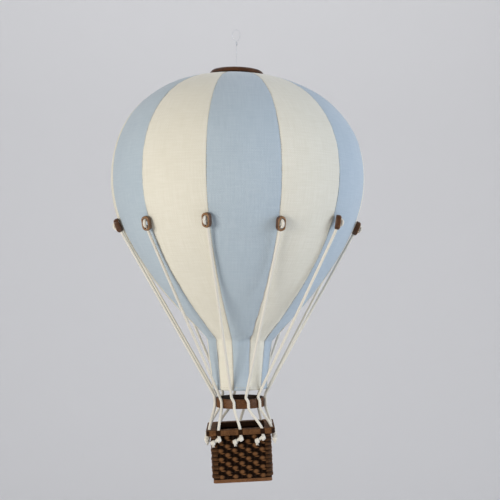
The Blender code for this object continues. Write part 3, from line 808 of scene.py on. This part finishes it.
outer = stadium(CLIP_LENGTH, CLIP_WIDTH, 18, 10)
inner = stadium(CLIP_HOLE_LENGTH, CLIP_HOLE_WIDTH, 18, 10)
clip = cut_plate("oval_clip", [outer, inner], CLIP_DEPTH, CLIP_EDGE)
for vert in clip.data.vertices:
    vert.co.z += CLIP_DEPTH / 2
    if vert.co.z > CLIP_DEPTH / 2:
        vert.co.z += clip_top(vert.co.y) - CLIP_DEPTH
bpy.ops.mesh.primitive_cylinder_add(
    vertices=32, radius=CLIP_NOTCH_WIDTH / 2, depth=CLIP_LENGTH / 2,
    location=(0, -CLIP_LENGTH * 0.45, CLIP_NOTCH_DEPTH - CLIP_NOTCH_WIDTH / 2), rotation=(pi / 2, 0, 0),
)
notch = bpy.context.object
bpy.ops.object.mode_set(mode="EDIT")
pick("VERT", lambda vert: vert.co.y < -0.0001)
bpy.ops.transform.translate(value=(0, 0, -CLIP_NOTCH_DEPTH))
bpy.ops.object.mode_set(mode="OBJECT")
bpy.ops.object.select_all(action="DESELECT")
clip.select_set(True)
bpy.context.view_layer.objects.active = clip
cut = clip.modifiers.new("notch", "BOOLEAN")
cut.object = notch
bpy.ops.object.modifier_apply(modifier=cut.name)
bpy.data.objects.remove(notch)
bpy.ops.object.shade_smooth_by_angle(angle=radians(40))
# Painted highlight: 1 on the front face, falling to 0 just below it, so the sides and back are painted darker.
painted_highlight = []
for vert in clip.data.vertices:
    painted_highlight.append(min(max(1 - (clip_top(vert.co.y) - vert.co.z) / 0.0007, 0.0), 1.0))
clip.data.attributes.new("painted_highlight", "FLOAT", "POINT").data.foreach_set("value", painted_highlight)
clip.data.materials.append(clip_plastic())


def clip_seat(index):
    """Frame of a clip on its seam: X across, Y up, Z out. It leans and is twisted, so its middle
    is lifted until only its edge touches the cloth."""
    rise, twist, lean = CLIP_PLACES[index]
    lift = CLIP_WIDTH / 2 * abs(sin(radians(twist))) + CLIP_LENGTH / 2 * sin(radians(lean))
    flat = seam_frame(SEAM_ANGLES[index], distance_at_height(CLIP_HEIGHT + rise), lift)
    return flat @ Matrix.Rotation(radians(-lean), 4, "X") @ Matrix.Rotation(radians(twist), 4, "Y")


for index in range(len(SEAM_ANGLES)):
    copy = clip.data.copy()
    copy.transform(clip_seat(index))
    seated = bpy.data.objects.new(f"oval_clip_{index + 1:02d}", copy)
    bpy.context.scene.collection.objects.link(seated)
    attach(seated, "balloon")
    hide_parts(f"clip_{index + 1:02d}")
bpy.data.objects.remove(clip)


# Stays: twelve cream cotton cords, three strands twisted, 2.3 mm thick. Each comes out through its
# clip, runs taut down the seam, kinks over the load ring, goes through the rim and ends in a knot.
STAY_RADIUS = 0.00115
FIT_GAP = 0.0003
RING_TOP = -0.2930
RING_HEIGHT = 0.0073
RING_RADIUS = 0.0192
STAY_ARCH_RADIUS = 0.0025
STAY_ARCH_CENTRE = (0.0001, 0.0030)
STAY_ARCH_DEGREES = (0, 30, 60, 90, 120, 145)
# Way out through the clip's notch: place up the seam, rise above lying flat on the cloth
STAY_EXIT = ((-0.0025, 0.0003), (-0.0034, 0.0), (-0.0070, 0.0))
STAY_KINK_ANGLE = radians(6.0)
STAY_KINK_RISE = 0.0022
STAY_LAY = 0.0052
STAY_GROOVE = 0.16
RIM_TOP = -0.3150
RIM_THICKNESS = 0.0042
BASKET_TILT = radians(-2.3)
HOLE_PITCH = 0.0170
HOLE_OFFSET = 0.0244
KNOT_DROP = 0.0030
KNOT_STEP_ASIDE = 0.0043
KNOT_STEP_DOWN = 0.0020
KNOT_LEAN = 0.0019
KNOT_TAIL = 0.0020
# The two lobes of a knot. Columns: radius of its coil, its length along the knot, turns, turn at
# which the cord comes in
KNOT_LOBES = ((0.00120, 0.0021, 1.80, 0.20), (0.00108, 0.0021, 1.60, 0.70))
CORD_CREAM = (0.770, 0.725, 0.625, 1.0)
CORD_SHADE = (0.520, 0.450, 0.340, 1.0)

basket_frame = Matrix.Translation((0, 0, RIM_TOP)) @ Matrix.Rotation(BASKET_TILT, 4, "Y")


def direction(angle):
    """Unit vector out from the axis; angle 0 faces the front, growing to the right."""
    return Vector((sin(angle), -cos(angle), 0.0))


def rim_holes():
    """Where each stay goes through the rim, as (place, out, aside) in the basket's frame. The
    front side's left-hand hole comes first."""
    holes = []
    for side in range(4):
        out = direction(side * pi / 2)
        right = Vector((-out.y, out.x, 0.0))
        for column in (-1, 0, 1):
            holes.append((out * HOLE_OFFSET + right * HOLE_PITCH * column, out, -right))
    return holes


def stay_start(seam):
    """Up out of the cloth inside the clip, over in an arch and out under its lower end."""
    low = FIT_GAP + STAY_RADIUS
    points = [(STAY_ARCH_CENTRE[0] + STAY_ARCH_RADIUS, FIT_GAP)]
    for degrees in STAY_ARCH_DEGREES:
        turn = radians(degrees)
        points.append((STAY_ARCH_CENTRE[0] + STAY_ARCH_RADIUS * cos(turn),
                       STAY_ARCH_CENTRE[1] + STAY_ARCH_RADIUS * sin(turn)))
    points += [(along, low + rise) for along, rise in STAY_EXIT]
    seat = clip_seat(seam)
    return [seat @ Vector((0.0, up, out)) for up, out in points]


def taut_run(angle, start):
    """Points where a taut cord lies on the cloth before it leaves in a straight line."""
    contact = Vector((RING_RADIUS + FIT_GAP + STAY_RADIUS, RING_TOP + STAY_KINK_RISE))
    samples = []
    clip_along = distance_at_height(CLIP_HEIGHT)
    for step in range(60):
        point, out = skin_at(clip_along + (GORE_LENGTH - NECK_LENGTH - clip_along) * step / 60)
        samples.append(point + out * (FIT_GAP + STAY_RADIUS))

    def slope(target, here):
        return atan2(target.x - here.x, here.y - target.y)

    here = Vector((start.dot(direction(angle)), start.z))
    route = []
    below = [point for point in samples if point.y < here.y - 0.001]
    while below:
        outermost = max(below, key=lambda point: slope(point, here))
        if slope(outermost, here) <= slope(contact, here):
            break
        route.append(outermost)
        here = outermost
        below = [point for point in samples if point.y < here.y - 0.004]
    return [turned(point, angle) for point in route]


def ring_run(angle):
    """In from the left over the ring's top edge, then down its outer face."""
    radius = RING_RADIUS + FIT_GAP + STAY_RADIUS
    # Columns: share of the step to the left, height
    stops = (
        (1.00, RING_TOP + STAY_KINK_RISE),
        (0.85, RING_TOP + STAY_KINK_RISE * 0.45),
        (0.40, RING_TOP - 0.0004),
        (0.05, RING_TOP - 0.0018),
        (0.00, RING_TOP - RING_HEIGHT * 0.6),
        (0.00, RING_TOP - RING_HEIGHT - 0.0004),
    )
    return [direction(angle - STAY_KINK_ANGLE * share) * radius + Vector((0, 0, height))
            for share, height in stops]


def stay_knot(number, hole):
    """Through the rim, then two coils pulled tight into lobes, and the short tail that is left.
    No two knots are pulled quite alike."""
    place, out, aside = hole
    down = Vector((0, 0, -1))
    under = place + down * RIM_THICKNESS
    first = under + out * KNOT_LEAN + down * KNOT_DROP
    second = first + aside * KNOT_STEP_ASIDE + down * KNOT_STEP_DOWN
    run = (second - first).normalized()
    up = out.cross(run)
    if up.z < 0:
        up = -up
    uneven = noise.noise((number * 1.7, 4.0, 9.0))
    route = [place - down * 0.0006, under + down * 0.0003]
    for centre, (radius, length, turns, start) in zip((first, second), KNOT_LOBES):
        steps = 18
        for step in range(steps + 1):
            share = step / steps
            turn = 2 * pi * (start + turns * share + 0.12 * uneven)
            coil = (up * cos(turn) + out * sin(turn)) * radius * (0.6 + 0.4 * sin(pi * share))
            route.append(centre + run * length * (share - 0.5) + coil)
    tail = second + down * (KNOT_TAIL * 0.6) + aside * (0.0003 + 0.0005 * uneven)
    route += [tail, tail + down * KNOT_TAIL * 0.45]
    return [basket_frame @ point for point in route]


def twisted_cotton():
    """Soft cotton cord: fine fibres that follow the twist, with painted shade down in the grooves."""
    paint = Paint("cord_cotton")
    around, along, unused = paint.parts(paint.node("ShaderNodeUVMap", {"uv_map": "UVMap"}))
    turn = around - along * (1 / STAY_LAY)
    strand = (turn * (3 * pi)).math("SINE").math("ABSOLUTE")
    fibre = paint.noise(paint.vector(turn * 40.0, along * 900.0), 1.0, 3.0, 0.6)
    cloud = paint.noise(paint.place(), 180.0, 2.0)
    # Painted shade: the grooves between the strands are painted towards CORD_SHADE.
    tone = paint.ramp(1.15 - strand * 0.55 + fibre * 0.5 + cloud * 0.2 - 0.35, 0.25, 0.95)
    return paint.surface(
        Base_Color=paint.mixed(tone, CORD_SHADE, CORD_CREAM),
        Roughness=0.86 + fibre * 0.1,
        Normal=paint.bump(fibre, 0.00008, 0.7),
        Sheen_Weight=0.3,
        Sheen_Roughness=0.5,
        Specular_IOR_Level=0.2,
    )


cord_cotton = twisted_cotton()
for number, hole in enumerate(rim_holes()):
    seam = (number - 1) % len(SEAM_ANGLES)
    angle = SEAM_ANGLES[seam]
    start = stay_start(seam)
    stops = start + taut_run(angle, start[-1]) + ring_run(angle) + stay_knot(number, hole)
    route, length = even_route(smooth_route(stops), 0.00055)
    taper = 0.0010 / length
    work = bmesh.new()
    add_tube(work, route, lambda share: STAY_RADIUS * min(1.0, 0.75 + 0.25 * (1 - share) / taper), 14,
             lobes=3, groove=STAY_GROOVE, lay=STAY_LAY)
    end, run = route[-1], (route[-1] - route[-4]).normalized()
    for fibre in range(7):
        turn = 2 * pi * fibre / 7
        splay = (run.orthogonal().normalized() * cos(turn) + run.cross(run.orthogonal()).normalized() * sin(turn))
        tuft = [end - run * 0.0004 + splay * 0.0005, end + run * 0.0005 + splay * 0.0007,
                end + run * (0.0011 + 0.0003 * (fibre % 3)) + splay * (0.0008 + 0.0002 * (fibre % 2))]
        tuft_route, tuft_length = even_route(tuft, 0.0005)
        add_tube(work, tuft_route, lambda share: 0.00032 * (1 - 0.6 * share), 6)
    stay = mesh_piece(f"cord_stay_{seam + 1:02d}", work)
    stay.data.materials.append(cord_cotton)
    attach(stay, "balloon")
    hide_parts(f"stay_{seam + 1:02d}")


# The load ring: a short turned tube of brown plastic with eased edges, held by the cords that bear
# on its outer face.
RING_WALL = 0.0020
RING_EDGE = 0.00045
RING_BROWN = (0.175, 0.074, 0.026, 1.0)
RING_SHADE = (0.060, 0.022, 0.008, 1.0)

bpy.ops.object.select_all(action="DESELECT")
bpy.ops.mesh.primitive_cylinder_add(
    vertices=120, radius=RING_RADIUS, depth=RING_HEIGHT, end_fill_type="NOTHING",
    location=(0, 0, RING_TOP - RING_HEIGHT / 2),
)
ring = named("load_ring_band")
bpy.ops.object.transform_apply(location=True, rotation=True, scale=True)
wall = ring.modifiers.new("wall", "SOLIDIFY")
wall.thickness = RING_WALL
wall.offset = -1
bpy.ops.object.modifier_apply(modifier=wall.name)
eased = ring.modifiers.new("eased_edges", "BEVEL")
eased.width = RING_EDGE
eased.segments = 4
eased.limit_method = "ANGLE"
bpy.ops.object.modifier_apply(modifier=eased.name)
# Painted shade: the ring's inner faces are marked to be painted near black.
inside = [float(face.normal.dot(face.center.xy.to_3d()) < 0) for face in ring.data.polygons]
ring.data.attributes.new("painted_shade", "FLOAT", "FACE").data.foreach_set("value", inside)
bpy.ops.object.shade_smooth_by_angle(angle=radians(35))
ring.data.materials.append(brown_plastic("ring_brown", RING_BROWN, RING_SHADE, 0.45, 0.00012))
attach(ring, "balloon")
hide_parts("load_ring")


# The basket's rim: a square plate of brown plastic with a wide opening. Each cord's hole has a
# shallow recess in the plate's edge in front of it.
RIM_HALF_WIDTH = 0.0266
RIM_OPENING_HALF_WIDTH = 0.0188
RIM_CORNER = 0.0040
RIM_EDGE = 0.0004
HOLE_RADIUS = 0.0016
RECESS_WIDTH = 0.0034
RECESS_DEPTH = 0.0006
RIM_BROWN = (0.185, 0.085, 0.034, 1.0)
RIM_SHADE = (0.040, 0.015, 0.006, 1.0)


def rounded_square(half_width, corner, corner_steps=10, recess=False):
    """Square outline with round corners, with three recesses in each side where asked."""
    points = []
    for side in range(4):
        out = direction(side * pi / 2)
        right = Vector((-out.y, out.x, 0.0))
        if recess:
            for column in (-1, 0, 1):
                left = column * HOLE_PITCH - RECESS_WIDTH / 2
                for across, depth in ((left, 0), (left, RECESS_DEPTH),
                                      (left + RECESS_WIDTH, RECESS_DEPTH), (left + RECESS_WIDTH, 0)):
                    points.append(out * (half_width - depth) + right * across)
        for step in range(corner_steps + 1):
            turn = pi / 2 * step / corner_steps
            centre = (out + right) * (half_width - corner)
            points.append(centre + (out * cos(turn) + right * sin(turn)) * corner)
    return [(point.x, point.y) for point in points]


def seat_in_basket(piece, lift):
    """Raise a flat piece to its height in the basket and tilt it with the basket."""
    piece.data.transform(basket_frame @ Matrix.Translation((0, 0, lift)))


outlines = [rounded_square(RIM_HALF_WIDTH, RIM_CORNER, recess=True),
            rounded_square(RIM_OPENING_HALF_WIDTH, RIM_CORNER / 2)]
for place, out, aside in rim_holes():
    outlines.append([(place.x + HOLE_RADIUS * cos(2 * pi * i / 20), place.y + HOLE_RADIUS * sin(2 * pi * i / 20))
                     for i in range(20)])
rim = cut_plate("basket_rim_plate", outlines, RIM_THICKNESS, RIM_EDGE)
# Painted shade: the faces round the opening and the side walls of the recesses are marked to be painted near
# black.
painted_shade = []
for face in rim.data.polygons:
    reach = max(abs(face.center.x), abs(face.center.y))
    sunk = RIM_OPENING_HALF_WIDTH + 0.001 < reach < RIM_HALF_WIDTH - RECESS_DEPTH / 2
    painted_shade.append(1.0 if reach < RIM_OPENING_HALF_WIDTH + 0.0002 or sunk and abs(face.normal.z) < 0.5 else 0.0)
rim.data.attributes.new("painted_shade", "FLOAT", "FACE").data.foreach_set("value", painted_shade)
seat_in_basket(rim, -RIM_THICKNESS / 2)
bpy.ops.object.shade_smooth_by_angle(angle=radians(35))
rim.data.materials.append(brown_plastic("rim_brown", RIM_BROWN, RIM_SHADE, 0.60, 0.00020, 0.06))
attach(rim, "balloon")
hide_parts("basket_rim")


# The basket's wall: ten thick weavers go in front of one stake and behind the next, all the way
# round, each with a thin strand laid in below it. At the corners they bend round a post.
WALL_HALF_WIDTH = 0.0216
WALL_CORNER = 0.0030
WALL_TOP = -RIM_THICKNESS - FIT_GAP
WALL_BOTTOM = -0.0380
WEAVE_COLUMNS = 7
WEAVE_COLUMN_PITCH = 0.0053
WEAVE_ROWS = 10
WEAVE_SWING = 0.0013
# Half height, half depth, drop below the row's middle, shift to the right
WEAVERS = ((0.00180, 0.00095, 0.0, 0.0), (0.00060, 0.00060, 0.0020, 0.0012))
# WALL_BROWN is the painted highlight on the weavers' crests; WALL_SHADE is the painted shade in the gaps, on the
# stakes and on the backing.
WALL_BROWN = (0.185, 0.082, 0.030, 1.0)
WALL_SHADE = (0.011, 0.004, 0.0012, 1.0)
CORNER_SWING = 0.45


def wall_route(shift, row):
    """Round the wall's middle, as (place, out, swing). The swing is 1 in front of a stake and -1
    behind one; round the corners it is steady."""
    straight = WALL_HALF_WIDTH - WALL_CORNER
    wave = WEAVE_COLUMNS * WEAVE_COLUMN_PITCH / 2
    stops = []
    for side in range(4):
        out = direction(side * pi / 2)
        right = Vector((-out.y, out.x, 0.0))
        count = 76
        for step in range(count):
            across = straight * (2 * step / count - 1)
            turn = pi * (across - shift) / WEAVE_COLUMN_PITCH + pi * row
            swing = cos(turn) if abs(across - shift) < wave else CORNER_SWING
            stops.append((out * WALL_HALF_WIDTH + right * across, out, swing))
        for step in range(8):
            turn = pi / 2 * step / 8
            bent = out * cos(turn) + right * sin(turn)
            stops.append(((out + right) * straight + bent * WALL_CORNER, bent, CORNER_SWING))
    return stops


def add_weaver(work, half_height, half_depth, drop, shift, row):
    """A flat strand all the way round. It is squeezed thin where it goes behind a stake."""
    front = work.verts.layers.float["front"]
    crest = WEAVE_SWING + half_depth
    sides = 10
    height = WALL_TOP + (WALL_BOTTOM - WALL_TOP) * (row + 0.5) / WEAVE_ROWS - drop
    rings = []
    for place, out, swing in wall_route(shift, row):
        tall = half_height * (0.66 + 0.30 * swing)
        ring = []
        for corner in range(sides):
            turn = 2 * pi * corner / sides
            reach = WEAVE_SWING * swing + half_depth * cos(turn)
            vert = work.verts.new(place + out * reach + Vector((0, 0, height + tall * sin(turn))))
            # front: 1 at the crest and 0 from the wall's middle inwards; the paint turns it into a painted
            # highlight on the crests and painted shade in the gaps.
            vert[front] = max(0.0, reach / crest)
            ring.append(vert)
        rings.append(ring)
    for number, ring in enumerate(rings):
        before = rings[number - 1]
        for corner in range(sides):
            after = (corner + 1) % sides
            face = work.faces.new((before[corner], ring[corner], ring[after], before[after]))
            face.smooth = True


def add_stake(work, place, out, half_width, half_depth):
    """An upright, a little flattened, between the floor and the rim."""
    right = Vector((-out.y, out.x, 0.0))
    sides = 12
    rings = []
    for height in (WALL_TOP, WALL_BOTTOM):
        rings.append([work.verts.new(place + right * half_width * cos(2 * pi * corner / sides)
                                     + out * half_depth * sin(2 * pi * corner / sides)
                                     + Vector((0, 0, height))) for corner in range(sides)])
    for corner in range(sides):
        after = (corner + 1) % sides
        face = work.faces.new((rings[0][corner], rings[1][corner], rings[1][after], rings[0][after]))
        face.smooth = True


def weave_with_painted_light():
    """Brown strands: a painted highlight where they stand out, and painted shade down in the gaps,
    on the stakes and on the backing.
    """
    paint = Paint("weave_brown")
    place = paint.place()
    front = paint.node("ShaderNodeAttribute", {"attribute_name": "front"}, output=2)
    cloud = paint.noise(place, 240.0, 3.0, 0.6)
    speck = paint.noise(place, 1400.0, 2.0, 0.6)
    lit_and_mottle = paint.ramp(front * 0.90 + cloud * 0.25 + speck * 0.25 - 0.25, 0.30, 1.00)
    return paint.surface(
        Base_Color=paint.mixed(lit_and_mottle, WALL_SHADE, WALL_BROWN),
        Roughness=0.60 - lit_and_mottle * 0.22 + speck * 0.10,
        Normal=paint.bump(speck + cloud, 0.00010, 0.6),
        Specular_IOR_Level=0.08,
    )


work = bmesh.new()
work.verts.layers.float.new("front")
for row in range(WEAVE_ROWS):
    for half_height, half_depth, drop, shift in WEAVERS:
        if drop and row == WEAVE_ROWS - 1:
            continue
        add_weaver(work, half_height, half_depth, drop, shift, row)
# The stakes and corner posts have no front value, so they are painted in the shade colour.
for side in range(4):
    out = direction(side * pi / 2)
    right = Vector((-out.y, out.x, 0.0))
    for column in range(WEAVE_COLUMNS):
        across = (column - (WEAVE_COLUMNS - 1) / 2) * WEAVE_COLUMN_PITCH
        add_stake(work, out * WALL_HALF_WIDTH + right * across, out, 0.0010, 0.0005)
    corner_place = (out + right) * (WALL_HALF_WIDTH - WALL_CORNER)
    add_stake(work, corner_place, (out + right).normalized(), 0.0024, 0.0024)
# A thin near-black backing band round the wall's middle, in the painted shade colour, stands for the shade inside
# the basket and closes the gaps between the strands.
backing = [point for point in rounded_square(WALL_HALF_WIDTH, WALL_CORNER)]
rings = [[work.verts.new((x * inward, y * inward, height)) for x, y in backing]
         for inward, height in ((1.0, WALL_TOP), (1.0, WALL_BOTTOM), (0.985, WALL_BOTTOM), (0.985, WALL_TOP))]
for number, ring_points in enumerate(rings):
    before = rings[number - 1]
    for corner in range(len(backing)):
        after = (corner + 1) % len(backing)
        work.faces.new((before[corner], ring_points[corner], ring_points[after], before[after]))
bmesh.ops.recalc_face_normals(work, faces=work.faces)
wall = mesh_piece("woven_wall", work)
seat_in_basket(wall, 0.0)
wall.data.materials.append(weave_with_painted_light())
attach(wall, "balloon")
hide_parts("basket_wall")


# The basket's floor: a square plate of the same brown plastic, with a groove run round its edge.
BASKET_DEPTH = 0.0410
FLOOR_HALF_WIDTH = 0.0227
FLOOR_THICKNESS = 0.0027
FLOOR_CORNER = 0.0030
FLOOR_EDGE = 0.0003
GROOVE_DEPTH = 0.0004
FLOOR_BROWN = (0.240, 0.110, 0.045, 1.0)
FLOOR_SHADE = (0.110, 0.045, 0.017, 1.0)

bpy.ops.mesh.primitive_cube_add(size=1, scale=(2 * FLOOR_HALF_WIDTH, 2 * FLOOR_HALF_WIDTH, FLOOR_THICKNESS))
floor = named("basket_floor_plate")
bpy.ops.object.transform_apply(location=True, rotation=True, scale=True)
bpy.ops.object.mode_set(mode="EDIT")
pick("EDGE", lambda edge: abs(edge.verts[0].co.z - edge.verts[1].co.z) > FLOOR_THICKNESS / 2)
bpy.ops.mesh.bevel(offset=FLOOR_CORNER, segments=8, affect="EDGES")
for share in (0.28, 0.10, -0.02, -0.20):
    bpy.ops.mesh.select_all(action="SELECT")
    bpy.ops.mesh.bisect(plane_co=(0, 0, FLOOR_THICKNESS * share), plane_no=(0, 0, 1))
pick("VERT", lambda vert: -0.05 < vert.co.z / FLOOR_THICKNESS < 0.15)
narrow = 1 - GROOVE_DEPTH / FLOOR_HALF_WIDTH
bpy.ops.transform.resize(value=(narrow, narrow, 1))
bpy.ops.object.mode_set(mode="OBJECT")
eased = floor.modifiers.new("eased_edges", "BEVEL")
eased.width = FLOOR_EDGE
eased.segments = 3
eased.limit_method = "ANGLE"
eased.angle_limit = radians(50)
bpy.ops.object.modifier_apply(modifier=eased.name)
# Painted shade: the floor's upper face, down inside the basket, is marked to be painted near black.
upper = [float(face.normal.z > 0.9) for face in floor.data.polygons]
floor.data.attributes.new("painted_shade", "FLOAT", "FACE").data.foreach_set("value", upper)
seat_in_basket(floor, -BASKET_DEPTH + FLOOR_THICKNESS / 2)
bpy.ops.object.shade_smooth_by_angle(angle=radians(35))
floor.data.materials.append(brown_plastic("floor_brown", FLOOR_BROWN, FLOOR_SHADE, 0.45, 0.00006))
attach(floor, "balloon")
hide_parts("basket_floor")
